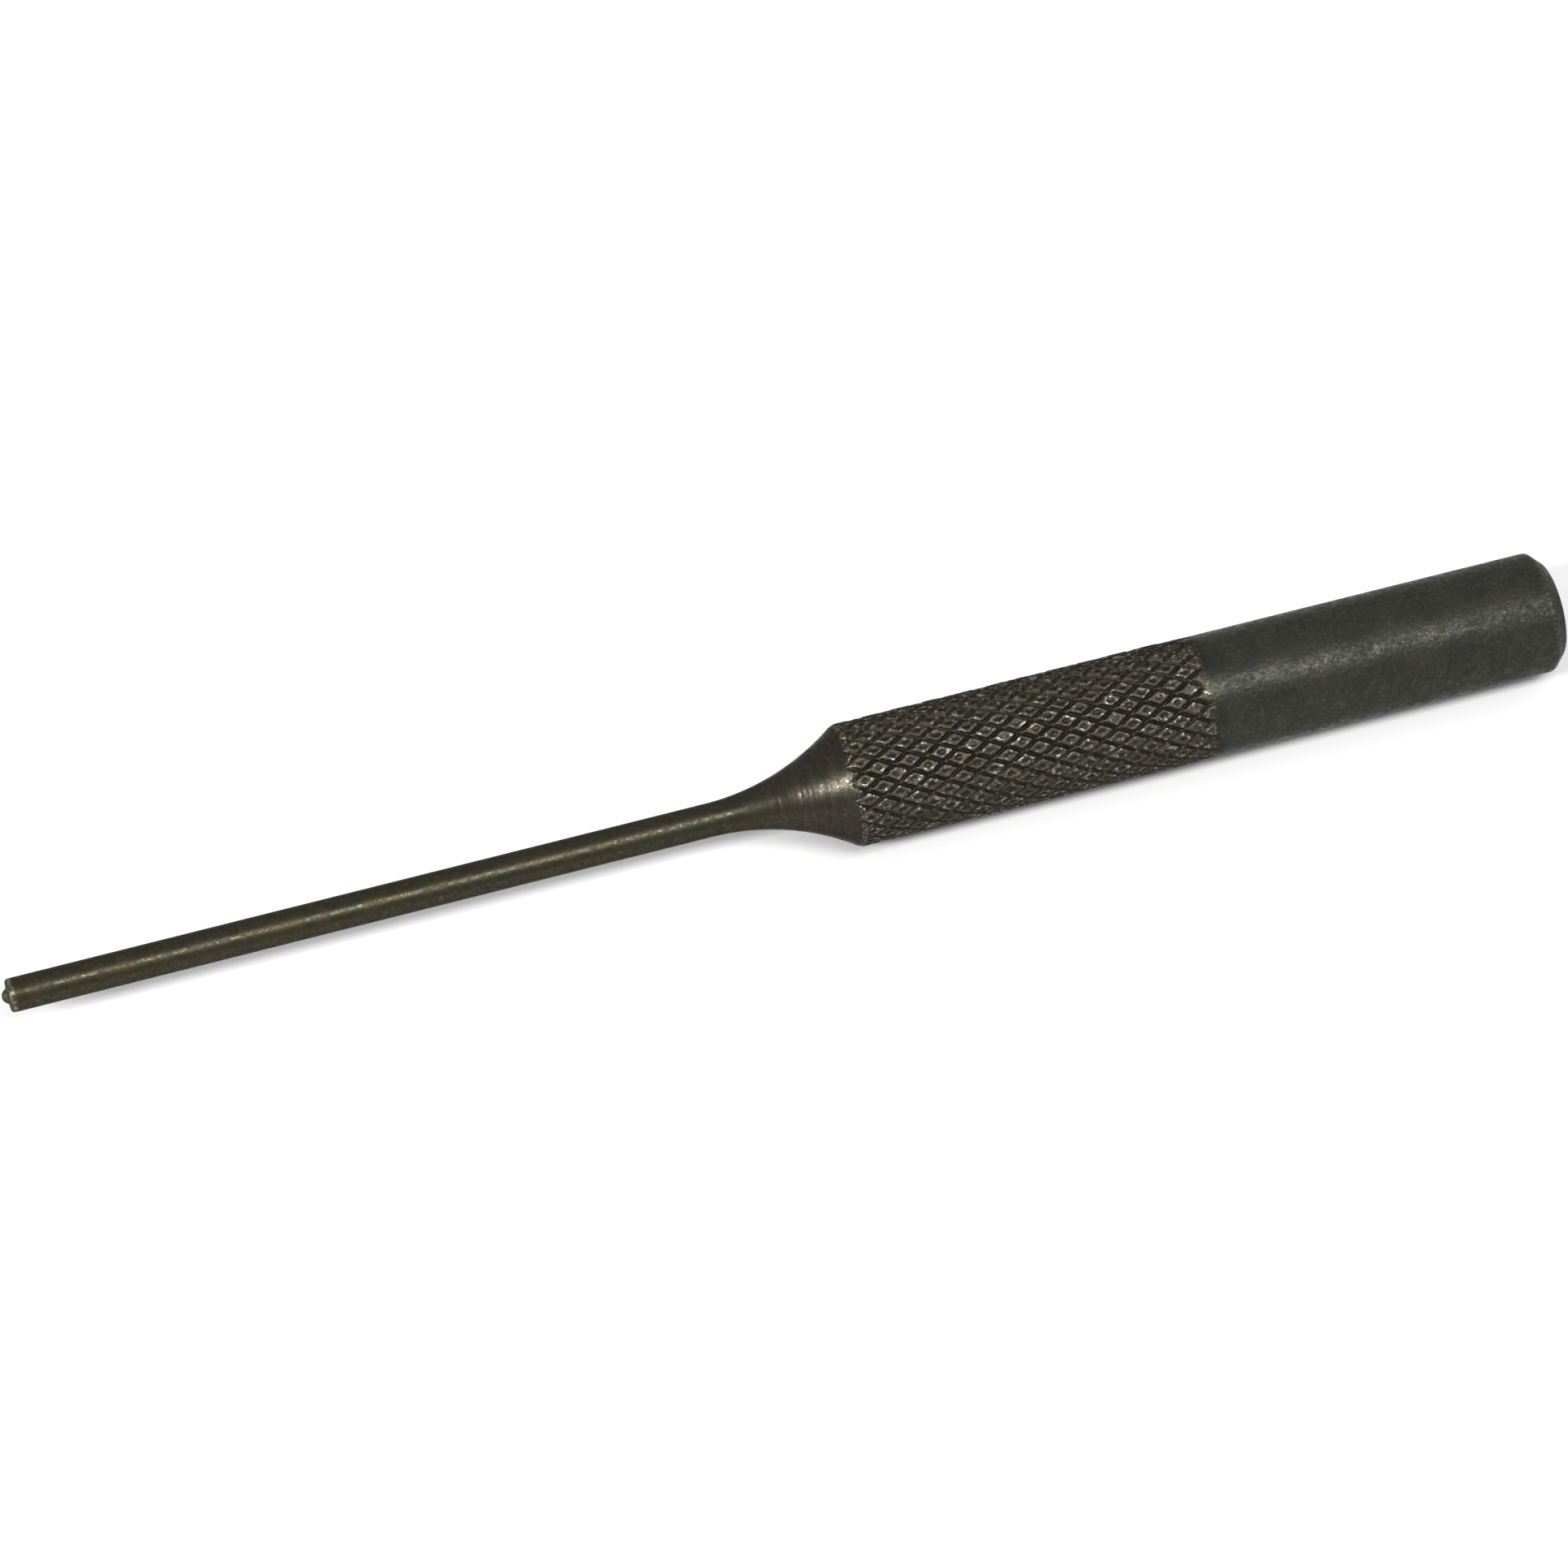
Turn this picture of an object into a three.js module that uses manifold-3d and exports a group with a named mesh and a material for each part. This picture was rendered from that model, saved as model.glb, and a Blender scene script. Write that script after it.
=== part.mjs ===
// Knurled pilot punch for roll pins, in millimetres, +Z up, lying on its side along X.
// One piece of steel: a round bar is knurled, then its front is turned down to a slim pin with a pilot nub.
import * as THREE from 'three';
import { mergeVertices } from 'three/addons/utils/BufferGeometryUtils.js';
import Module from 'manifold-3d';

// Whole tool
const overallLength = 123.95;      // end of the nub to the striking face, about 4 7/8 in
const stockDiameter = 9.525;       // the bar that it is turned from, 3/8 in

// Pilot nub, which centres the punch in the bore of a roll pin
const nubHeight = 0.46;
const nubRadius = 0.6;             // of its ball end
const nubFillet = 0.18;            // soft corner where the nub meets the shoulder

// Slim pin
const pinDiameter = 2.62;
const pinReach = 54.8;             // shoulder to the start of the neck
const tipEdgeRadius = 0.28;        // rounded edge of the driving shoulder

// Neck: a hollow flare, ground with one radius and tangent to the pin
const neckRadius = 19.05;          // 3/4 in
const neckRimDiameter = 9.36;      // where the flare stops
const rimLandLength = 0.4;         // short bevelled land from the flare up to the crests of the knurl

// Diamond knurl: two crossing sets of spiral grooves
const knurlLength = 28.6;          // from the neck's rim back along the bar
const knurlStarts = 20;            // grooves of each hand
const knurlAngle = 31.2 * Math.PI / 180;
const grooveDepth = 0.25;          // below the bar's own surface
const grooveWidth = 0.66;          // crest to crest across a groove
const crestHeight = 0.075;         // rim that the rolling raised round each diamond
const rimWidth = 0.2;              // crest of the rim to the floor of the pit
const pitDepth = 0.03;             // floor of each diamond, below the bar's own surface
const lastRowShare = 0.16;         // of a row: how far the knurl goes on past its last row of diamonds

// Plain end and striking face
const headChamfer = 1.0;
const headEdgeRadius = 0.35;       // both edges of the chamfer are worn round

// Fineness of the facets
const sides = 2 * knurlStarts;
const nubSteps = 4;
const filletSteps = 2;
const edgeSteps = 2;
const neckSteps = 11;

// Cutting
const overrun = 0.4;               // how far a blank stands outside what it is cut with
const knurlLap = 0.1;              // how far the knurled length reaches into the plain one

// Derived sizes; y runs along the tool from the end of the nub while it is being made
const stockRadius = stockDiameter / 2;
const pinRadius = pinDiameter / 2;
const neckRimRadius = neckRimDiameter / 2;
const crestRadius = stockRadius + crestHeight;
const rootRadius = stockRadius - grooveDepth;
const pitRadius = stockRadius - pitDepth;
const neckStart = nubHeight + pinReach;
const neckAngle = Math.acos(1 - (neckRimRadius - pinRadius) / neckRadius);
const neckEnd = neckStart + neckRadius * Math.sin(neckAngle);
const knurlEnd = neckEnd + knurlLength;
const gripMiddle = neckEnd + knurlLength / 2;
const blankRadius = crestRadius + overrun;
const landSlope = rimLandLength / (crestRadius - neckRimRadius);

// A quarter turn of the knurl's pattern: along the bar and round it
const columnPitch = 2 * Math.PI * crestRadius / knurlStarts;
const rowPitch = columnPitch / Math.tan(knurlAngle) / 2;
const groovePitch = columnPitch * Math.cos(knurlAngle);
const crestShare = 1 - grooveWidth / groovePitch;
const floorShare = crestShare - 2 * rimWidth / groovePitch;

// Points of an arc in a turned outline, from one angle to another, both ends included.
// Angle 0 points away from the axis and a quarter turn points along it.
function arc(centreRadius, centreY, radius, from, to, steps) {
  return Array.from({ length: steps + 1 }, (_, i) => {
    const angle = from + (to - from) * i / steps;
    return new THREE.Vector2(centreRadius + radius * Math.cos(angle), centreY + radius * Math.sin(angle));
  });
}

// Ball-ended nub, from its end on the axis out to the shoulder, which it meets in a fillet.
// The fillet touches both the ball and the shoulder.
function nubOutline() {
  const quarter = Math.PI / 2;
  const filletY = nubHeight - nubFillet;
  const drop = nubRadius - filletY;
  const joinAngle = Math.asin(drop / (nubRadius + nubFillet));
  const filletReach = (nubRadius + nubFillet) * Math.cos(joinAngle);
  const ball = arc(0, nubRadius, nubRadius, -quarter, -joinAngle, nubSteps);
  const fillet = arc(filletReach, filletY, nubFillet, 2 * quarter - joinAngle, quarter, filletSteps);
  ball[0].x = 0;
  return [...ball, ...fillet.slice(1)];
}

// Rounded edge where the shoulder meets the side of the pin
function tipEdgeOutline() {
  return arc(pinRadius - tipEdgeRadius, nubHeight + tipEdgeRadius, tipEdgeRadius, -Math.PI / 2, 0, edgeSteps);
}

// The flare, hollow towards the outside, with its centre out beyond the pin
function neckOutline() {
  return arc(pinRadius + neckRadius, neckStart, neckRadius, Math.PI, Math.PI - neckAngle, neckSteps);
}

// Nub, pin and neck, then a blank over the knurled length, which the knurl itself will cut
function frontOutline() {
  return [
    ...nubOutline(),
    ...tipEdgeOutline(),
    ...neckOutline(),
    new THREE.Vector2(blankRadius, neckEnd + landSlope * (blankRadius - neckRimRadius)),
    new THREE.Vector2(blankRadius, knurlEnd + knurlLap),
    new THREE.Vector2(0, knurlEnd + knurlLap),
  ];
}

// Plain bar from the knurl to the striking face, with a chamfer whose two edges are rounded
function shankOutline() {
  const turn = Math.PI / 4;
  const edge = headEdgeRadius * Math.tan(turn / 2);
  const inset = headEdgeRadius * (1 - Math.cos(turn));
  const sideY = overallLength - headChamfer - edge;
  const faceRadius = stockRadius - headChamfer - edge;
  return [
    new THREE.Vector2(0, knurlEnd),
    new THREE.Vector2(stockRadius, knurlEnd),
    ...arc(stockRadius - headEdgeRadius, sideY, headEdgeRadius, 0, turn, edgeSteps),
    ...arc(faceRadius, overallLength - headEdgeRadius, headEdgeRadius, turn, 2 * turn, edgeSteps),
    new THREE.Vector2(0, overallLength),
  ];
}

// One point of the knurl. right and back are in pitches, as the four sides of a diamond run.
function latticePoint(column, row, right, back, radius) {
  const angle = (2 * column + row + right) * Math.PI / knurlStarts;
  const y = knurlEnd + (row + back - lastRowShare) * rowPitch;
  return new THREE.Vector3(radius * Math.sin(angle), y, radius * Math.cos(angle));
}

// The four corners of a diamond: left, front, right and back, at a share of its full size
function diamondRing(column, row, share, radius) {
  return [
    latticePoint(column, row, -share, 0, radius),
    latticePoint(column, row, 0, -share, radius),
    latticePoint(column, row, share, 0, radius),
    latticePoint(column, row, 0, share, radius),
  ];
}

// Two triangles between a side of one ring and the same side of the ring inside it
function ringStrip(outer, inner) {
  return outer.flatMap((point, i) => {
    const next = (i + 1) % outer.length;
    return [point, outer[next], inner[next], point, inner[next], inner[i]];
  });
}

// A diamond: groove walls up to the raised rim, the rim's inner slope, and the floor of the pit
function diamond(column, row) {
  const root = diamondRing(column, row, 1, rootRadius);
  const crest = diamondRing(column, row, crestShare, crestRadius);
  const floor = diamondRing(column, row, floorShare, pitRadius);
  const [left, front, right, back] = floor;
  return [...ringStrip(root, crest), ...ringStrip(crest, floor), left, front, back, front, right, back];
}

// Smooth root-size bar in front of the first row of diamonds, with its flat end
function frontCap(column, row) {
  const endY = -overrun;
  const centre = new THREE.Vector3(0, endY, 0);
  const [left, front, right] = diamondRing(column, row, 1, rootRadius);
  return [[left, front], [front, right]].flatMap(([a, b]) => {
    const [aEnd, bEnd] = [a, b].map((point) => point.clone().setY(endY));
    return [b, a, aEnd, b, aEnd, bEnd, bEnd, aEnd, centre];
  });
}

// Closes the bar behind the last row of diamonds, inside the plain length
function backCap(column, row) {
  const [left, , right, back] = diamondRing(column, row, 1, rootRadius);
  const centre = new THREE.Vector3(0, back.y, 0);
  return [right, centre, back, back, centre, left];
}

// A bar knurled all the way, from in front of the neck's rim to just past the knurl's end
function knurledBar() {
  const firstRow = -Math.ceil(knurlLength / rowPitch) - 1;
  const lastRow = 1;
  const points = [];
  for (let column = 0; column < knurlStarts; column += 1) {
    for (let row = firstRow; row <= lastRow; row += 1) {
      points.push(...diamond(column, row));
    }
    points.push(...frontCap(column, firstRow));
    points.push(...backCap(column, lastRow));
  }
  return new THREE.BufferGeometry().setFromPoints(points);
}

const wasm = await Module();
wasm.setup();

// A closed geometry as a solid that can be joined and cut
function solid(geometry) {
  const bare = geometry.clone();
  bare.deleteAttribute('normal');
  bare.deleteAttribute('uv');
  const merged = mergeVertices(bare);
  return new wasm.Manifold(new wasm.Mesh({
    numProp: 3,
    vertProperties: new Float32Array(merged.attributes.position.array),
    triVerts: new Uint32Array(merged.index.array),
  }));
}

// A solid back as a geometry to show
function geometryOf(shape) {
  const mesh = shape.getMesh();
  const geometry = new THREE.BufferGeometry();
  geometry.setAttribute('position', new THREE.BufferAttribute(mesh.vertProperties, 3));
  geometry.setIndex(new THREE.BufferAttribute(mesh.triVerts, 1));
  geometry.computeVertexNormals();
  return geometry;
}

function turned(outline) {
  return solid(new THREE.LatheGeometry(outline, sides));
}

// The whole tool: the turned front takes the knurl's surface, and the plain bar carries it on to the head
function punchGeometry() {
  const front = turned(frontOutline()).intersect(solid(knurledBar()));
  return geometryOf(front.add(turned(shankOutline())));
}

// Blackened steel, worn to a brownish grey
function blackedSteel() {
  return new THREE.MeshStandardMaterial({ color: 0x3d3b34, roughness: 0.42, metalness: 0.85 });
}

// It lies along X with the tip at -X, and the middle of its grip at the origin
function punch() {
  const mesh = new THREE.Mesh(punchGeometry(), blackedSteel());
  mesh.name = 'punch';
  mesh.rotation.z = -Math.PI / 2;
  mesh.position.x = -gripMiddle;
  return mesh;
}

const pilotPunch = new THREE.Group();
pilotPunch.add(punch());

export default pilotPunch;
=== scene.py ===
# A knurled pilot punch of blackened steel: its worn surface, its finish, and a plain studio round it.
# Lengths are in metres. The axis of the punch is X, with the tip at -X and the striking face at +X.
import math

import bpy
import numpy as np
from mathutils import Matrix, Vector


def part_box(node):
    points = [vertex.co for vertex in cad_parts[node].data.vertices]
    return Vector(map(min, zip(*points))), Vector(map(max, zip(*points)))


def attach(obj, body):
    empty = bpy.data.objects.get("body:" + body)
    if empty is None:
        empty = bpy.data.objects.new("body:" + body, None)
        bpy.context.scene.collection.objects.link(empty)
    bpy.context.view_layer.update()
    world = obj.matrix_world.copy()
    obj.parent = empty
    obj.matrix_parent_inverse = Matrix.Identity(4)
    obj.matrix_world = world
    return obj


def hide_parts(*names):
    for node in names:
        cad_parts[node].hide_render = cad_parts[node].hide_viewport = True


MM = 0.001

# Turned sizes. The overall length and the crests of the knurl are those of the punch's own box.
STOCK_RADIUS = 4.7625 * MM
PIN_RADIUS = 1.31 * MM
NUB_RADIUS = 0.6 * MM
NUB_HEIGHT = 0.46 * MM
NUB_FILLET = 0.3 * MM              # soft corner between the nub and the shoulder
TIP_EDGE_RADIUS = 0.28 * MM
PIN_REACH = 54.8 * MM              # shoulder to the start of the neck
NECK_RADIUS = 19.05 * MM
NECK_RIM_RADIUS = 4.68 * MM
RIM_LAND = 0.4 * MM                # length of the bevel from the neck up to the crests
HEAD_CHAMFER = 1.0 * MM
HEAD_EDGE_RADIUS = 0.35 * MM

# Knurl
KNURL_LENGTH = 28.6 * MM
KNURL_STARTS = 20                  # grooves of each hand
KNURL_ANGLE = math.radians(31.2)
LAST_ROW_SHARE = 0.16              # of a row, past its last row of diamonds
GROOVE_DEPTH = 0.25 * MM
PIT_DEPTH = 0.042 * MM
CREST_SHARE = 0.26                 # of a pitch, from the root of a groove to the crest of the rim
FLOOR_SHARE = 0.40                 # of a pitch, from the root to the floor of the pit
SOFTNESS = 0.1                     # of a pitch, over which two grooves' walls blend at a corner
WALL_ROUNDNESS = 2.5               # 1 for straight groove walls; more rounds them over into the rim
NECK_JOIN_SOFTNESS = 0.03 * MM     # soft edge where the neck cuts the knurl off

# How the knurl runs out at its back end
RIM_FADE = 3.4 * MM                # length over which the rims sink
RIM_FADE_PAST = 0.5                # of a row, how far past the end they are gone
GROOVE_FADE = 0.7 * MM             # length over which the grooves run out
RUN_OUT_WAVES = ((3, 0.35 * MM, 0), (7, 0.2 * MM, 1))      # waves of that line: number round, height, phase
ROWS_PAST_END = 0.75               # of a row, how far the knurl's mesh goes on

# How diamonds differ
SEED = 7
LIFT_SPREAD = 0.014 * MM           # in height
TILT_SPREAD = 0.07 * MM            # in slope, across a whole pitch
PIT_SPREAD = 0.012 * MM            # in the depth of the pit
CORNER_LIFT = 0.02 * MM            # the corners of a rim are squeezed up highest
CORNER_REACH = 0.06                # of a pitch, how far a corner reaches past the middle of the rim's slope
SIDE_SINK = 0.4                    # of the corners' lift, by which the whole rim is lowered in return
RIM_SPREAD = 0.09                  # of a pitch, how far from the crest that squeeze is felt
ROUGHNESS_LIFT = 0.016 * MM        # small unevenness of the rolled surface
RIM_CALM = 0.5                     # share of the unevenness that the rims lack

# Fineness of the surface. A pitch is cut in 12, so that roots and crests lie on lines of the mesh.
STEPS_PER_PITCH = 12
POINTS_ROUND = STEPS_PER_PITCH * KNURL_STARTS
WALL_LINES = (0.2, 0.6)            # of a groove's wall, where two lines of the mesh run along it
NUB_STEPS = 8
FILLET_STEPS = 6
SHOULDER_STEPS = 3
EDGE_STEPS = 6
PIN_STEPS = 14
NECK_STEPS = 36
PLAIN_STEPS = 10
FACE_STEPS = 8
FRONT_GAP = 0.05 * MM              # least space between the turned rows of the mesh and the knurled ones

# Spans over which one look passes into the next, in mm past the place that each comment names
KNURL_RISE = (-0.1, 0.3)           # end of the neck
KNURL_FALL = (-0.4, 0.6)           # end of the knurl
PLAIN_RISE = (-0.6, 1.5)           # end of the knurl
NECK_RISE = (1.0, 7.0)             # start of the neck
NEAR_RIM_RISE = (-6.0, -0.5)       # end of the neck
CREST_FALL = (-1.1, -0.3)          # end of the knurl
SPARKLE_FALL = (-0.3, 0.3)         # end of the knurl
SINK_RISE = (-2.72, -0.34)         # end of the knurl
PLAIN_SHEEN = (0.0, 18.0)          # end of the knurl
RIM_WINDOW = ((-0.1, 0.05), (0.2, 0.6))                    # end of the neck
HEAD_EDGE_WINDOW = ((-0.5, -0.1), (0.05, 0.35))            # start of the chamfer
SHOULDER_WINDOW = ((0.084, 0.224), (0.28, 0.588))          # shoulder
FACE_FALL = (0.056, 0.196)         # shoulder
WORN_RISE = (-0.11, -0.02)         # radius of the crests
PIT_FALL = (-0.10, -0.03)          # radius of the crests
GROOVE_FALL = (-0.21, -0.01)       # radius of the bar
# painted shade: the dark colour at the roots of the grooves comes in over this span
ROOT_SHADE_FALL = (-0.24, -0.15)         # radius of the bar
RIM_RISE = (-0.1, 0.0)             # radius of the neck's rim
RIM_SINK = 0.045                   # mm by which the rims' wear goes down with them at the back end

# Grains of the steel: fineness per mm, detail, roughness, and the offset or stretch of their pattern
GRAINS = {
    "speckle": {"scale": 3.4, "detail": 3.0, "roughness": 0.6},
    "fine": {"scale": 13.0, "detail": 2.0, "roughness": 0.6},
    "grit": {"scale": 7.0, "detail": 1.0},
    "blotch": {"scale": 0.42, "detail": 3.0, "roughness": 0.55},
    "patch": {"scale": 1.5, "detail": 2.5, "roughness": 0.6, "offset": (31.0, 7.0, 3.0)},
    "spots": {"scale": 2.9, "detail": 1.0, "offset": (5.0, 17.0, 41.0)},
    "glints": {"scale": 4.6, "detail": 1.0, "offset": (11.0, 3.0, 23.0)},
    "waves": {"scale": 1.0, "detail": 2.0, "roughness": 0.6, "stretch": (1.15, 0.3, 0.3)},
    "lines": {"scale": 1.0, "detail": 1.5, "stretch": (3.2, 0.25, 0.25)},
}

# Looks that follow a grain: its two limits, and the values at them where these aren't 0 and 1
SPARKLE_SPOTS = (0.58, 0.64)
# where painted glints lie on the plain bar and the turned stretch
SPARK_SPOTS = (0.63, 0.7)
PATCH_LIMITS = (0.56, 0.72)
TURNING_LINES = (0.4, 0.7, 0.1, 0.7)
RIM_DOTS = (0.46, 0.6, 0.1, 1.0)
# blobs along the shoulder's edge and the chamfer's edge: partly wear, partly painted highlight
SHOULDER_WEAR_AND_HIGHLIGHT = (0.4, 0.58, 0.25, 0.9)
HEAD_WEAR_AND_HIGHLIGHT = (0.35, 0.65, 0.02, 0.14)
SHADE = (0.3, 0.72, 0.82, 1.22)
ROUGHNESS = (0.34, 0.7, 0.42, 0.30)
PLAIN_ROUGHNESS = (0.38, 0.62, 0.14, -0.03)
TURNED_ROUGHNESS = (0.35, 0.65, 0.06, -0.06)
SHEEN_ROUGHNESS = (-0.04, 0.01)    # from the knurl's end to the far end of the plain bar's sheen

# Base colours, in linear red, green and blue: the grain that they vary with, its limits, and two tones
PLAIN_TONES = ("blotch", (0.38, 0.64), (0.025, 0.026, 0.0215), (0.031, 0.0315, 0.024))
TURNED_TONES = ("blotch", (0.36, 0.62), (0.0437, 0.0380, 0.0238), (0.0394, 0.0378, 0.0266))
KNURL_TONES = ("patch", (0.35, 0.65), (0.0555, 0.0495, 0.0385), (0.0455, 0.0447, 0.0322))

# Colours laid over those, in this order: the share of each that covers, and its tone
LAYERS = {
    "pits": (0.82, (0.0225, 0.0192, 0.0130)),
    "groove": (0.85, (0.047, 0.0420, 0.0305)),
    # painted shade: a dark colour at the bottom of each groove, where shade falls
    "root": (0.5, (0.025, 0.022, 0.016)),
    "turning_lines": (1.0, (0.0525, 0.0452, 0.0395)),
    "near_rim": (0.3, (0.020, 0.018, 0.017)),
    "patches": (0.35, (0.052, 0.047, 0.044)),
    # partly worn steel on the crests, partly painted glints at random points on them
    "worn_crests_and_glints": (1.0, (0.55, 0.54, 0.48)),
    "face": (0.8, (0.070, 0.069, 0.046)),
    # partly worn steel and partly painted highlights along the shoulder's rounded edge, the chamfer's edge
    # and the neck's rim
    "edges": (0.6, (0.30, 0.28, 0.24)),
    # painted glints: pale specks at random spots on the plain bar and the turned stretch
    "spark": (0.1, (0.16, 0.15, 0.12)),
}
# painted glints: share of bright steel laid on a sparkling point of a crest, partly worn steel and partly
# painted glint
SPARKLE_BRIGHTNESS = 0.30          # share of bright steel at a sparkling point of a crest
CREST_BRIGHTNESS = 0.015           # and on the rest of a crest
# the rim dots are partly worn steel and partly painted glints
RIM_DOTS_BRIGHTNESS = 0.5          # how strongly the dots on the neck's rim count among the worn edges

# How much rougher each place is than the rest, or glossier where that is below 0
ROUGHER = {
    "neck": -0.05,
    "near_rim": 0.039,
    "crest": 0.06,
    "sparkle": -0.21,
    "spark": -0.12,
    "rim_dots": -0.16,
    "shoulder_edge": -0.08,
    "groove": 0.2,
    "face": 0.25,
}

# Depth of each grain in mm: everywhere, and what is added on some stretches
RELIEF = {
    "lines": (0.0, {"turned": 0.010, "neck": 0.05, "plain": 0.003}),
    "waves": (0.0, {"turned": 0.035}),
    "speckle": (0.013, {"knurl": 0.046, "plain": 0.026}),
    "grit": (0.004, {"knurl": 0.022}),
    "fine": (0.002, {}),
}
PLAIN_DULLNESS = 0.35              # how much less metallic the plain bar is
SPECULAR_LEVEL = 0.3
SPECULAR_TINT = (0.5, 0.5, 0.5, 1.0)

# Studio. A light has its direction from the punch, its distance, width, height and power in watts.
FLOOR_REACH = 4.0
FLOOR_TONE = (0.7, 0.7, 0.7)
FLOOR_ROUGHNESS = 0.9
FLOOR_SPECULAR_LEVEL = 0.1
LIGHTS = {
    "key_light": ((0.19, -0.44, 0.88), 0.7, 0.42, 0.18, 3.2),
    "tip_light": ((-0.80, -0.28, 0.54), 0.6, 0.3, 0.07, 3.4),
}
SURROUND_TONE = (1.0, 1.0, 1.0, 1.0)
SURROUND_STRENGTH = 0.8

# Camera: where the photograph's camera stands, from the end of the nub
PHOTO_WIDTH = 1932                 # pixels
FOCAL_PIXELS = 8000
SENSOR_WIDTH = 36.0                # mm
CLIP_START = 0.01
VIEW_AZIMUTH = math.radians(-17.5)
VIEW_ELEVATION = math.radians(52.6)
NUB_IN_VIEW = Vector((-58.434, -15.966, 485.0)) * MM      # to the right, up and away

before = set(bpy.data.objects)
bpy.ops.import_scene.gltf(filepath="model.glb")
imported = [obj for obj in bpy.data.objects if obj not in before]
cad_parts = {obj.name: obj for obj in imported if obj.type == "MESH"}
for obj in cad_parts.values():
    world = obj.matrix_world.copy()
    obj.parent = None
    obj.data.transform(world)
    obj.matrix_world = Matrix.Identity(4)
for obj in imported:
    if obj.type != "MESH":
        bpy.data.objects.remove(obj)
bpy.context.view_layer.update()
punch_low, punch_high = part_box("punch")

TIP_X = punch_low.x
OVERALL_LENGTH = punch_high.x - punch_low.x
CREST_RADIUS = (punch_high.z - punch_low.z) / 2
BENCH_Z = punch_low.z
MIDDLE = Vector(((punch_low.x + punch_high.x) / 2, 0, 0))
NECK_START = NUB_HEIGHT + PIN_REACH
NECK_ANGLE = math.acos(1 - (NECK_RIM_RADIUS - PIN_RADIUS) / NECK_RADIUS)
NECK_END = NECK_START + NECK_RADIUS * math.sin(NECK_ANGLE)
KNURL_END = NECK_END + KNURL_LENGTH
CHAMFER_START = OVERALL_LENGTH - HEAD_CHAMFER
CREST_HEIGHT = CREST_RADIUS - STOCK_RADIUS
ROW_PITCH = math.pi * CREST_RADIUS / KNURL_STARTS / math.tan(KNURL_ANGLE)
RIM_SLOPE_MIDDLE = (CREST_SHARE + FLOOR_SHARE) / 2


def arc(centre_s, centre_r, radius, start, end, steps):
    """Points of an arc in the turned outline, both ends included.

    Angle 0 points away from the axis, and a quarter turn points along it."""
    angles = np.linspace(start, end, steps + 1)
    return np.stack([centre_s + radius * np.sin(angles), centre_r + radius * np.cos(angles)], 1)


def line(start, end, steps):
    """Evenly spaced points between two places, without the first."""
    return np.linspace(start, end, steps + 1)[1:]


def tip_outline():
    """Nub, the fillet at its foot, the flat shoulder and its rounded edge, as (along, radius)."""
    fillet_s = NUB_HEIGHT - NUB_FILLET
    join = math.asin((NUB_RADIUS - fillet_s) / (NUB_RADIUS + NUB_FILLET))
    fillet_r = (NUB_RADIUS + NUB_FILLET) * math.cos(join)
    edge_s = NUB_HEIGHT + TIP_EDGE_RADIUS
    edge_r = PIN_RADIUS - TIP_EDGE_RADIUS
    nub = arc(NUB_RADIUS, 0, NUB_RADIUS, -math.pi / 2, -join, NUB_STEPS)[1:]
    fillet = arc(fillet_s, fillet_r, NUB_FILLET, math.pi - join, math.pi / 2, FILLET_STEPS)[1:]
    edge = arc(edge_s, edge_r, TIP_EDGE_RADIUS, -math.pi / 2, 0, EDGE_STEPS)
    shoulder = line(fillet[-1], edge[0], SHOULDER_STEPS)[:-1]
    return np.concatenate([nub, fillet, shoulder, edge])


def neck_outline():
    """The slim pin and the flare that is ground tangent to it."""
    pin = line((NUB_HEIGHT + TIP_EDGE_RADIUS, PIN_RADIUS), (NECK_START, PIN_RADIUS), PIN_STEPS)
    angles = np.linspace(0, NECK_ANGLE, NECK_STEPS + 1)[1:]
    flare_s = NECK_START + NECK_RADIUS * np.sin(angles)
    flare_r = PIN_RADIUS + NECK_RADIUS * (1 - np.cos(angles))
    return np.concatenate([pin, np.stack([flare_s, flare_r], 1)])


def head_outline():
    """The plain bar, its chamfer with two worn edges, and the striking face."""
    turn = math.pi / 4
    edge = HEAD_EDGE_RADIUS * math.tan(turn / 2)
    side_end = CHAMFER_START - edge
    face_radius = STOCK_RADIUS - HEAD_CHAMFER - edge
    outer = arc(side_end, STOCK_RADIUS - HEAD_EDGE_RADIUS, HEAD_EDGE_RADIUS, 0, turn, EDGE_STEPS)
    inner = arc(OVERALL_LENGTH - HEAD_EDGE_RADIUS, face_radius, HEAD_EDGE_RADIUS, turn, 2 * turn, EDGE_STEPS)
    bar = line((KNURL_END + ROW_PITCH, STOCK_RADIUS), outer[0], PLAIN_STEPS)[:-1]
    face = line(inner[-1], (OVERALL_LENGTH, 0), FACE_STEPS)[:-1]
    return np.concatenate([bar, outer, inner, face])


def turned_radius(along):
    """Radius of the turned front, the flare and then the bevel, which goes on past the crests."""
    past_start = np.clip(along - NECK_START, 0, NECK_END - NECK_START)
    flare = PIN_RADIUS + NECK_RADIUS - np.sqrt(NECK_RADIUS ** 2 - past_start ** 2)
    slope = (CREST_RADIUS - NECK_RIM_RADIUS) / RIM_LAND
    return flare + slope * np.maximum(along - NECK_END, 0)


def smooth_min(first, second, softness):
    """The lower of two values, with a rounded corner where they cross."""
    mix = np.clip(0.5 + 0.5 * (second - first) / softness, 0, 1)
    return second + (first - second) * mix - softness * mix * (1 - mix)


def fade(value, start, end):
    """0 before start, 1 after end, and smooth between."""
    share = np.clip((value - start) / (end - start), 0, 1)
    return share * share * (3 - 2 * share)


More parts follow.
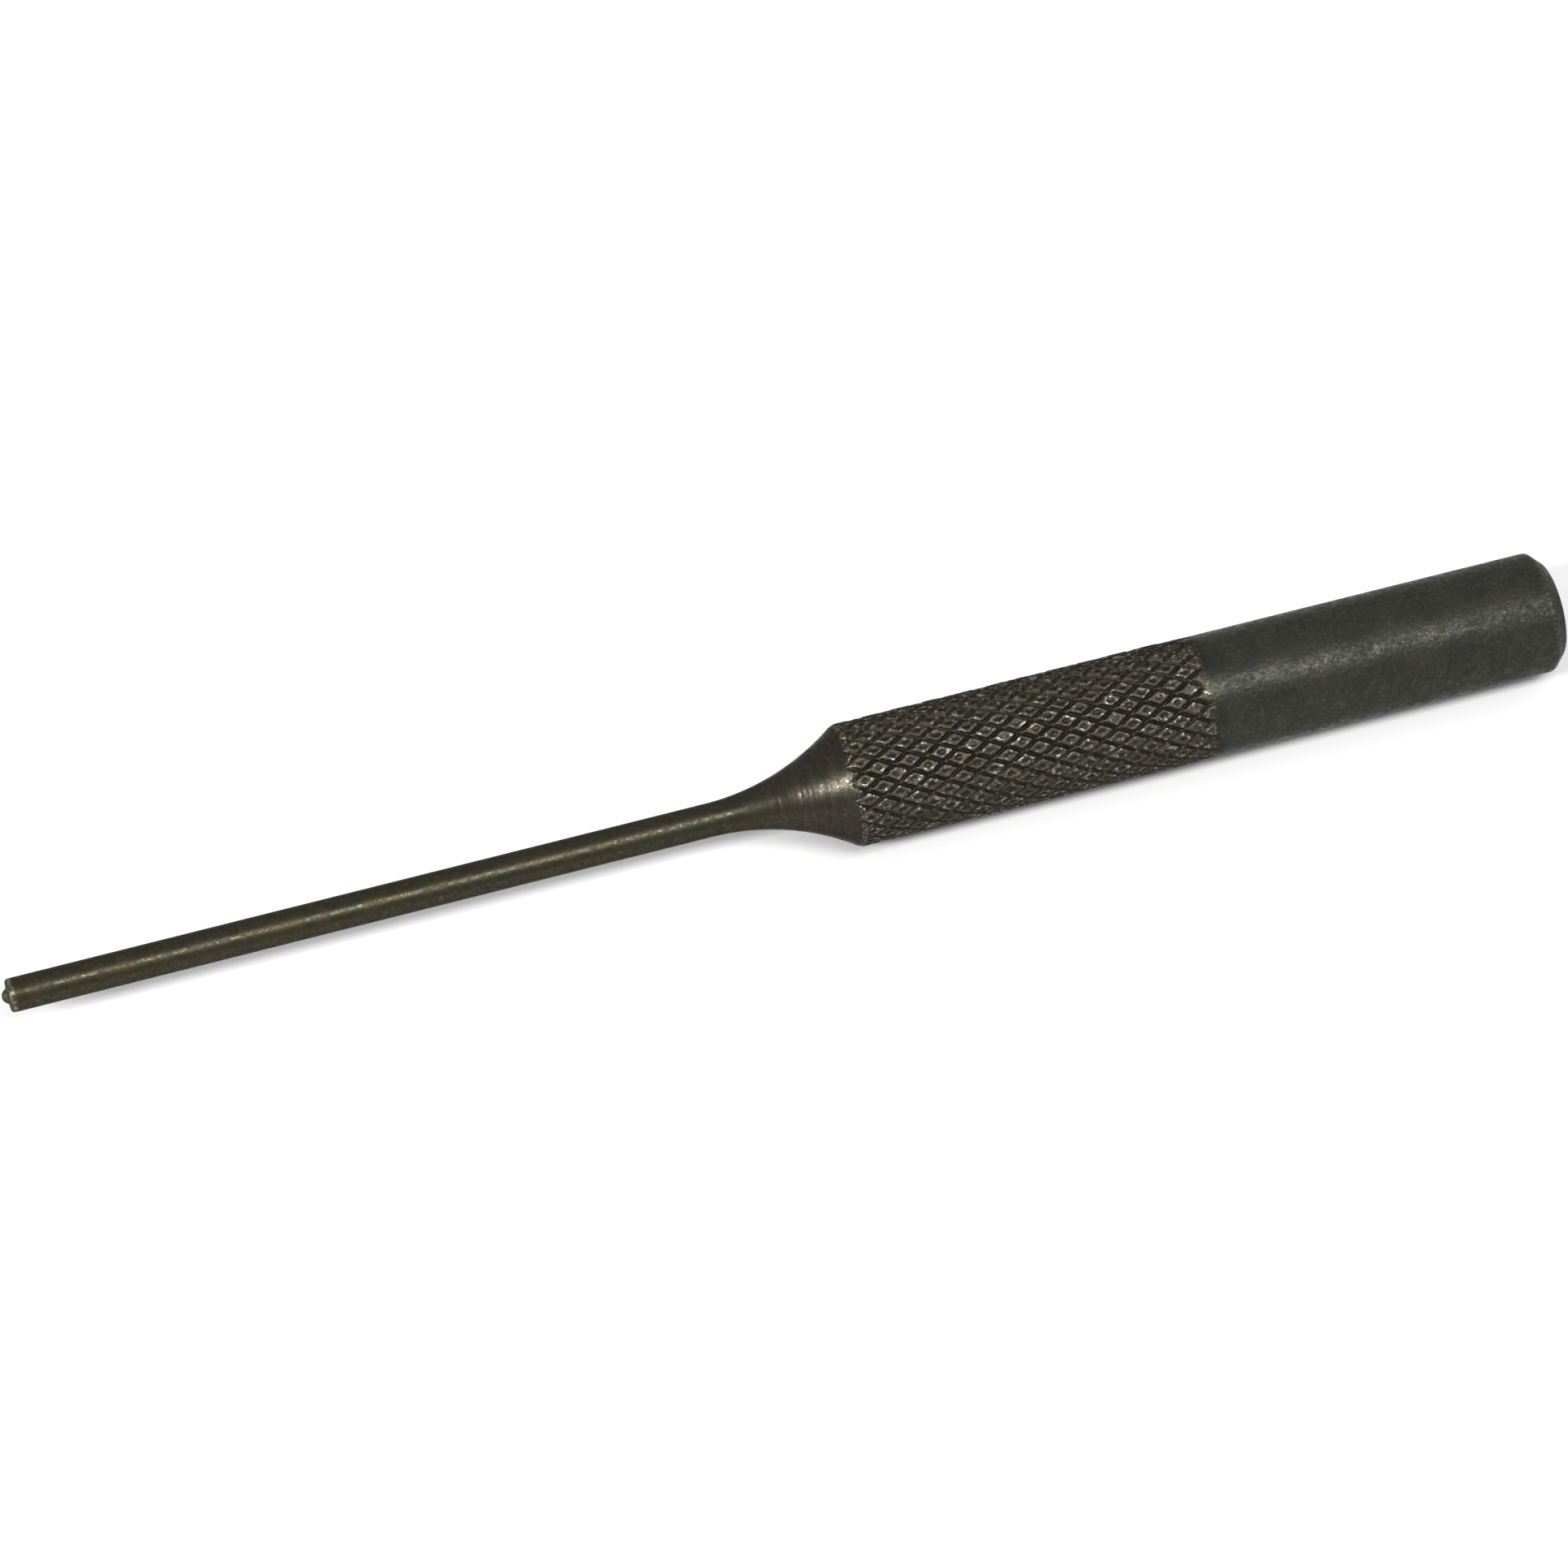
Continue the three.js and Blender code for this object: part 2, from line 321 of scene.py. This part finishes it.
def knurl_lattice(first_step):
    """Mesh points over the knurl, counted in pitches across each of its two sets of grooves.

    Gives the middle of each point's diamond, the point's offset from it, and its distance from the root."""
    steps = np.arange(first_step, math.ceil(ROWS_PAST_END * STEPS_PER_PITCH) + 1)
    back = np.repeat(steps[:, None] / STEPS_PER_PITCH, POINTS_ROUND, 1)
    right = (2 * np.arange(POINTS_ROUND)[None, :] + (steps % 2)[:, None]) / STEPS_PER_PITCH

    # Grooves have their roots where these are a whole number and a half
    even = np.stack([(right + back) / 2, (right - back) / 2])
    middle = np.round(even)
    offset = even - middle

    # Lines of the mesh move to the roots, the walls, the crests and the floors
    even_lines = np.arange(STEPS_PER_PITCH // 2 + 1) / STEPS_PER_PITCH
    walls = [CREST_SHARE * share for share in WALL_LINES]
    lines = [0, *walls, CREST_SHARE, RIM_SLOPE_MIDDLE, FLOOR_SHARE, 0.5]
    from_root = np.interp(0.5 - np.abs(offset), even_lines, lines)
    offset = middle + np.sign(offset) * (0.5 - from_root) - middle
    return middle, offset, from_root


def diamond_numbers(rng, middle):
    """Random numbers of the diamond that each point belongs to: height, slope in two directions, and pit."""
    column = (middle[0] + middle[1]).astype(int) % (2 * KNURL_STARTS)
    row = (middle[0] - middle[1]).astype(int)
    row -= row.min()
    table = rng.normal(0, 1, (4, 2 * KNURL_STARTS, row.max() + 1))
    return table[:, column, row]


def knurl_height(rng, along, middle, offset, from_root):
    """Height over the bar's own surface: groove walls, raised rims, and pits that differ."""
    lift, tilt_a, tilt_b, pit = diamond_numbers(rng, middle)
    near = np.maximum(smooth_min(from_root[0], from_root[1], SOFTNESS), 0)
    far = np.maximum(from_root[0], from_root[1])
    rim_left = 1 - fade(along, KNURL_END - RIM_FADE, KNURL_END + RIM_FADE_PAST * ROW_PITCH)
    top = CREST_HEIGHT * rim_left
    floor = -PIT_DEPTH * rim_left + PIT_SPREAD * pit * rim_left
    wall = 1 - np.clip(1 - near / CREST_SHARE, 0, 1) ** WALL_ROUNDNESS
    height = np.where(
        near < CREST_SHARE,
        -GROOVE_DEPTH + (GROOVE_DEPTH + top) * wall,
        top + (floor - top) * fade(near, CREST_SHARE, FLOOR_SHARE),
    )
    on_rim = np.exp(-((near - CREST_SHARE) / RIM_SPREAD) ** 2)
    corner = on_rim * (1 - fade(far, CREST_SHARE, RIM_SLOPE_MIDDLE + CORNER_REACH))
    tilt = TILT_SPREAD * (offset[0] * tilt_a + offset[1] * tilt_b)
    own = fade(near, 0, CREST_SHARE)
    height += own * rim_left * (LIFT_SPREAD * lift + tilt + CORNER_LIFT * (corner - SIDE_SINK * on_rim))
    height += ROUGHNESS_LIFT * rng.normal(0, 1, height.shape) * (1 - RIM_CALM * own)
    return height


def knurl_left(along, angle):
    """1 on the knurl and 0 past the slightly wavy line where its grooves run out."""
    end = KNURL_END
    for number, height, phase in RUN_OUT_WAVES:
        end = end + height * np.sin(number * angle + phase)
    return 1 - fade(along, end - GROOVE_FADE / 2, end + GROOVE_FADE / 2)


def knurl_rows():
    """Rows of mesh points over the knurl: their places along and round the bar, and their radii.

    Also says whether the first row is half a step on."""
    rows_before_end = (NECK_END - RIM_LAND - KNURL_END) / ROW_PITCH + LAST_ROW_SHARE
    first_step = math.floor(rows_before_end * STEPS_PER_PITCH)
    middle, offset, from_root = knurl_lattice(first_step)
    place = middle + offset
    along = KNURL_END + (place[0] - place[1] - LAST_ROW_SHARE) * ROW_PITCH
    angle = (place[0] + place[1]) * math.pi / KNURL_STARTS
    height = knurl_height(np.random.default_rng(SEED), along, middle, offset, from_root)
    knurled = np.minimum(STOCK_RADIUS + height * knurl_left(along, angle), CREST_RADIUS)
    radius = smooth_min(knurled, turned_radius(along), NECK_JOIN_SOFTNESS)
    return along, angle, radius, first_step % 2


def turned_rows(outline, parity):
    """Rows of mesh points round a turned outline, each half a step on from the last."""
    steps = 2 * np.arange(POINTS_ROUND)[None, :] + ((np.arange(len(outline)) + parity) % 2)[:, None]
    angle = steps * math.pi / POINTS_ROUND
    return np.repeat(outline[:, :1], POINTS_ROUND, 1), angle, np.repeat(outline[:, 1:], POINTS_ROUND, 1)


def surface_triangles(rows, parity):
    """Triangles between all the rows, and a fan from each end row to its pole."""
    here = np.arange(POINTS_ROUND)
    on = (here + 1) % POINTS_ROUND
    triangles = []
    for row in range(rows - 1):
        low = row * POINTS_ROUND
        high = low + POINTS_ROUND
        if (row + parity) % 2 == 0:
            triangles.append(np.stack([low + here, low + on, high + here], 1))
            triangles.append(np.stack([low + on, high + on, high + here], 1))
        else:
            triangles.append(np.stack([low + here, high + on, high + here], 1))
            triangles.append(np.stack([low + here, low + on, high + on], 1))
    last = (rows - 1) * POINTS_ROUND
    nub_pole = np.full_like(here, rows * POINTS_ROUND)
    face_pole = nub_pole + 1
    triangles.append(np.stack([nub_pole, on, here], 1))
    triangles.append(np.stack([face_pole, last + here, last + on], 1))
    return np.concatenate(triangles)


def punch_surface():
    """The whole closed surface of the punch, as points and triangles."""
    along, angle, radius, parity = knurl_rows()
    front = np.concatenate([tip_outline(), neck_outline()])
    front = front[front[:, 0] < along.min() - FRONT_GAP]
    front_parity = (parity - len(front)) % 2
    parts = [
        turned_rows(front, front_parity),
        (along, angle, radius),
        turned_rows(head_outline(), parity + len(along)),
    ]
    along, angle, radius = (np.concatenate(values) for values in zip(*parts))
    points = np.stack([TIP_X + along, radius * np.sin(angle), radius * np.cos(angle)], 2).reshape(-1, 3)
    poles = np.array([[TIP_X, 0, 0], [TIP_X + OVERALL_LENGTH, 0, 0]])
    return np.concatenate([points, poles]), surface_triangles(len(along), front_parity)


def make_mesh(name, points, triangles):
    """A smooth-shaded mesh."""
    mesh = bpy.data.meshes.new(name)
    mesh.from_pydata(points.tolist(), [], triangles.tolist())
    mesh.polygons.foreach_set("use_smooth", np.ones(len(triangles), bool))
    mesh.update()
    return mesh


class Nodes:
    """Short names for the shader nodes that a finish is built from."""

    # Places of the colour sockets among all those of a Mix node
    MIX_A = 6
    MIX_B = 7
    MIX_RESULT = 2

    def __init__(self, name):
        self.material = bpy.data.materials.new(name)
        self.material.use_nodes = True
        self.tree = self.material.node_tree
        self.tree.nodes.clear()

    def add(self, kind, **settings):
        """A new node with these settings."""
        node = self.tree.nodes.new(kind)
        for key, value in settings.items():
            setattr(node, key, value)
        return node

    def put(self, node, socket, value):
        """A link if the value is a socket, and otherwise a constant."""
        if isinstance(value, bpy.types.NodeSocket):
            self.tree.links.new(value, node.inputs[socket])
        elif value is not None:
            node.inputs[socket].default_value = value

    def math(self, operation, a, b=None, c=None):
        """The result of a sum on up to three values."""
        node = self.add("ShaderNodeMath", operation=operation)
        for socket, value in enumerate((a, b, c)):
            self.put(node, socket, value)
        return node.outputs[0]

    def times(self, a, b):
        """The product of two values."""
        return self.math("MULTIPLY", a, b)

    def vector(self, operation, a, b=None):
        """The result of a sum on one or two vectors."""
        node = self.add("ShaderNodeVectorMath", operation=operation)
        self.put(node, 0, a)
        self.put(node, 1, b)
        return node.outputs["Value" if operation == "LENGTH" else "Vector"]

    def ramp(self, value, start, end, low=0.0, high=1.0):
        """From low to high as value goes from start to end, smoothly."""
        node = self.add("ShaderNodeMapRange", interpolation_type="SMOOTHSTEP")
        numbers = {"Value": value, "From Min": start, "From Max": end, "To Min": low, "To Max": high}
        for socket, number in numbers.items():
            self.put(node, socket, number)
        return node.outputs["Result"]

    def rise(self, value, place, span, low=0.0, high=1.0):
        """From low to high over a span in mm past a place."""
        return self.ramp(value, place / MM + span[0], place / MM + span[1], low, high)

    def fall(self, value, place, span):
        """From 1 to 0 over a span in mm past a place."""
        return self.ramp(value, place / MM + span[1], place / MM + span[0])

    def window(self, value, place, spans):
        """1 between a rise and a fall, both past the same place."""
        return self.times(self.rise(value, place, spans[0]), self.fall(value, place, spans[1]))

    def grain(self, place, scale, detail, roughness=0.5, offset=None, stretch=None):
        """A noise pattern, which may be offset or stretched."""
        if offset:
            place = self.vector("ADD", place, offset)
        if stretch:
            place = self.vector("MULTIPLY", place, stretch)
        node = self.add("ShaderNodeTexNoise")
        numbers = {"Vector": place, "Scale": scale, "Detail": detail, "Roughness": roughness}
        for socket, number in numbers.items():
            self.put(node, socket, number)
        return node.outputs["Fac"]

    def mix(self, share, a, b):
        """Colour a with a share of colour b over it."""
        node = self.add("ShaderNodeMix", data_type="RGBA")
        self.put(node, "Factor", share)
        self.put(node, self.MIX_A, a)
        self.put(node, self.MIX_B, b)
        return node.outputs[self.MIX_RESULT]

    def finish(self, shader):
        """The material, with this shader as its surface."""
        out = self.add("ShaderNodeOutputMaterial")
        self.put(out, "Surface", shader.outputs["BSDF"])
        return self.material


def stretches(n, along):
    """Which stretch of the punch a point is on."""
    turned = n.fall(along, NECK_END, KNURL_RISE)
    return {
        "knurl": n.times(n.rise(along, NECK_END, KNURL_RISE), n.fall(along, KNURL_END, KNURL_FALL)),
        "plain": n.rise(along, KNURL_END, PLAIN_RISE),
        "turned": turned,
        "neck": n.times(turned, n.rise(along, NECK_START, NECK_RISE)),
        "near_rim": n.times(turned, n.rise(along, NECK_END, NEAR_RIM_RISE)),
        "face": n.fall(along, NUB_HEIGHT, FACE_FALL),
        "shoulder_edge": n.window(along, NUB_HEIGHT, SHOULDER_WINDOW),
    }


def knurl_wear_and_painted_light(n, mask, grain, along, radius):
    """Bright crests and points of the knurl, partly worn steel and partly painted glints, and its dark
    grooves and pits, with painted shade at the roots of the grooves.
    """
    knurl = mask["knurl"]
    sunk = n.rise(along, KNURL_END, SINK_RISE)
    ridge = n.math("MULTIPLY_ADD", sunk, RIM_SINK, radius)
    worn = n.times(knurl, n.rise(ridge, CREST_RADIUS, WORN_RISE))
    sparkle = n.times(worn, n.fall(along, KNURL_END, SPARKLE_FALL))
    crest = n.times(worn, n.fall(along, KNURL_END, CREST_FALL))
    # random points of the crests, where glints are painted and the steel is glossier
    sparkle = n.times(sparkle, n.ramp(grain["spots"], *SPARKLE_SPOTS))
    faint = n.times(crest, CREST_BRIGHTNESS)
    return {
        "crest": crest,
        "sparkle": sparkle,
        # partly worn crests, partly painted glints
        "worn_crests_and_glints": n.math("MULTIPLY_ADD", sparkle, SPARKLE_BRIGHTNESS, faint),
        "groove": n.times(knurl, n.fall(ridge, STOCK_RADIUS, GROOVE_FALL)),
        # painted shade at the roots of the grooves
        "root": n.times(knurl, n.fall(ridge, STOCK_RADIUS, ROOT_SHADE_FALL)),
        "pits": n.times(knurl, n.fall(ridge, CREST_RADIUS, PIT_FALL)),
    }


def other_wear_and_glints(n, mask, grain, along, radius):
    """Worn edges with painted highlights along them, painted glints, and the marks of turning and handling.
    """
    rim = n.window(along, NECK_END, RIM_WINDOW)
    rim = n.times(rim, n.rise(radius, NECK_RIM_RADIUS, RIM_RISE))
    rim_dots = n.times(rim, n.ramp(grain["glints"], *RIM_DOTS))
    # partly wear, partly painted highlight: bright blobs along the shoulder's edge and the chamfer's edge
    shoulder = n.times(mask["shoulder_edge"], n.ramp(grain["spots"], *SHOULDER_WEAR_AND_HIGHLIGHT))
    head = n.times(n.window(along, CHAMFER_START, HEAD_EDGE_WINDOW), n.ramp(grain["speckle"], *HEAD_WEAR_AND_HIGHLIGHT))
    edges = n.math("MAXIMUM", shoulder, head)
    smooth = n.math("MAXIMUM", mask["plain"], mask["turned"])
    return {
        "rim_dots": rim_dots,
        # worn edges with painted highlights on them
        "edges": n.math("MAXIMUM", edges, n.times(rim_dots, RIM_DOTS_BRIGHTNESS)),
        # painted glints on the smooth stretches, where the steel is also glossier
        "spark": n.times(smooth, n.ramp(grain["spots"], *SPARK_SPOTS)),
        "patches": n.ramp(grain["patch"], *PATCH_LIMITS),
        "turning_lines": n.times(mask["neck"], n.ramp(grain["lines"], *TURNING_LINES)),
    }


def steel_colour(n, mask, grain):
    """Base colours of the three stretches, then the layers over them, then a fine shade."""
    def varied(name, limits, first, second):
        return n.mix(n.ramp(grain[name], *limits), (*first, 1), (*second, 1))

    colour = varied(*PLAIN_TONES)
    colour = n.mix(mask["turned"], colour, varied(*TURNED_TONES))
    colour = n.mix(mask["knurl"], colour, varied(*KNURL_TONES))
    for name, (share, tone) in LAYERS.items():
        colour = n.mix(n.times(mask[name], share), colour, (*tone, 1))
    return n.vector("MULTIPLY", colour, n.ramp(grain["speckle"], *SHADE))


def steel_roughness(n, mask, grain, along):
    """A roughness that varies with the grain, and from place to place."""
    sheen = n.rise(along, KNURL_END, PLAIN_SHEEN, *SHEEN_ROUGHNESS)
    changes = [
        (mask["plain"], n.ramp(grain["patch"], *PLAIN_ROUGHNESS)),
        (mask["plain"], sheen),
        (mask["turned"], n.ramp(grain["waves"], *TURNED_ROUGHNESS)),
        *((mask[name], change) for name, change in ROUGHER.items()),
    ]
    roughness = n.ramp(grain["speckle"], *ROUGHNESS)
    for place, change in changes:
        roughness = n.math("MULTIPLY_ADD", place, change, roughness)
    return roughness


def steel_relief(n, mask, grain):
    """Fine relief of all the grains together, as a bump."""
    relief = 0.0
    for name, (depth, more) in RELIEF.items():
        for place, extra in more.items():
            depth = n.math("MULTIPLY_ADD", mask[place], extra, depth)
        relief = n.math("MULTIPLY_ADD", grain[name], depth, relief)
    bump = n.add("ShaderNodeBump")
    n.put(bump, "Height", relief)
    n.put(bump, "Distance", MM)
    n.put(bump, "Strength", 1.0)
    return bump.outputs["Normal"]


def black_steel():
    """Blackened tool steel, whose look changes along the punch and with the height of the knurl."""
    n = Nodes("black_steel")
    place = n.vector("MULTIPLY", n.add("ShaderNodeTexCoord").outputs["Object"], (1 / MM,) * 3)
    split = n.add("ShaderNodeSeparateXYZ")
    n.put(split, 0, place)
    along = n.math("SUBTRACT", split.outputs[0], TIP_X / MM)
    radius = n.vector("LENGTH", n.vector("MULTIPLY", place, (0.0, 1.0, 1.0)))

    grain = {name: n.grain(place, **numbers) for name, numbers in GRAINS.items()}
    mask = stretches(n, along)
    mask.update(knurl_wear_and_painted_light(n, mask, grain, along, radius))
    mask.update(other_wear_and_glints(n, mask, grain, along, radius))

    shader = n.add("ShaderNodeBsdfPrincipled")
    n.put(shader, "Base Color", steel_colour(n, mask, grain))
    n.put(shader, "Metallic", n.math("MULTIPLY_ADD", mask["plain"], -PLAIN_DULLNESS, 1.0))
    n.put(shader, "Specular IOR Level", SPECULAR_LEVEL)
    n.put(shader, "Specular Tint", SPECULAR_TINT)
    n.put(shader, "Roughness", steel_roughness(n, mask, grain, along))
    n.put(shader, "Normal", steel_relief(n, mask, grain))
    return n.finish(shader)


def floor_material():
    """Matt and pale, all over the same."""
    n = Nodes("floor")
    shader = n.add("ShaderNodeBsdfPrincipled")
    n.put(shader, "Base Color", (*FLOOR_TONE, 1))
    n.put(shader, "Roughness", FLOOR_ROUGHNESS)
    n.put(shader, "Specular IOR Level", FLOOR_SPECULAR_LEVEL)
    return n.finish(shader)


def add_object(name, data):
    """A new object in the scene."""
    piece = bpy.data.objects.new(name, data)
    bpy.context.scene.collection.objects.link(piece)
    return piece


def studio_floor():
    """A pale floor under the knurl's crests, wide enough to fill every view."""
    signs = ((-1, -1), (1, -1), (1, 1), (-1, 1))
    corners = [(x * FLOOR_REACH, y * FLOOR_REACH, BENCH_Z) for x, y in signs]
    mesh = bpy.data.meshes.new("floor")
    mesh.from_pydata(corners, [], [(0, 1, 2, 3)])
    mesh.materials.append(floor_material())
    floor = add_object("floor", mesh)


def looking(place, right, up, back):
    """Where an object stands that looks away from its back."""
    return Matrix.Translation(place) @ Matrix((right, up, back)).transposed().to_4x4()


def soft_light(name, direction, distance, width, height, power):
    """A rectangular soft light aimed at the middle of the punch, with its width along the punch."""
    light = bpy.data.lights.new(name, "AREA")
    light.shape = "RECTANGLE"
    light.size = width
    light.size_y = height
    light.energy = power
    away = Vector(direction).normalized()
    side = Vector((1, 0, 0)) - away * away.x
    side.normalize()
    lamp = add_object(name, light)
    lamp.matrix_world = looking(MIDDLE + away * distance, side, away.cross(side), away)


def photo_camera():
    """The camera at the photograph's place, worked out from where the end of the nub is in its view."""
    sin_a, cos_a = math.sin(VIEW_AZIMUTH), math.cos(VIEW_AZIMUTH)
    sin_e, cos_e = math.sin(VIEW_ELEVATION), math.cos(VIEW_ELEVATION)
    right = Vector((cos_a, sin_a, 0))
    forward = Vector((-sin_a * cos_e, cos_a * cos_e, -sin_e))
    up = right.cross(forward)
    camera = add_object("camera", bpy.data.cameras.new("camera"))
    camera.data.sensor_width = SENSOR_WIDTH
    camera.data.lens = FOCAL_PIXELS / PHOTO_WIDTH * SENSOR_WIDTH
    camera.data.clip_start = CLIP_START
    nub_end = Vector((TIP_X, 0, 0))
    place = nub_end - NUB_IN_VIEW.x * right - NUB_IN_VIEW.y * up - NUB_IN_VIEW.z * forward
    camera.matrix_world = looking(place, right, up, -forward)
    bpy.context.scene.camera = camera


def surround():
    """Even white light from all round."""
    world = bpy.data.worlds.new("studio")
    bpy.context.scene.world = world
    world.use_nodes = True
    background = world.node_tree.nodes["Background"]
    background.inputs["Color"].default_value = SURROUND_TONE
    background.inputs["Strength"].default_value = SURROUND_STRENGTH
    bpy.context.scene.view_settings.view_transform = "Standard"


piece = add_object("punch_dressed", make_mesh("punch_dressed", *punch_surface()))
piece.data.materials.append(black_steel())
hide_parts("punch")
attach(piece, "root")

photo_camera()
studio_floor()
for name, numbers in LIGHTS.items():
    soft_light(name, *numbers)
surround()
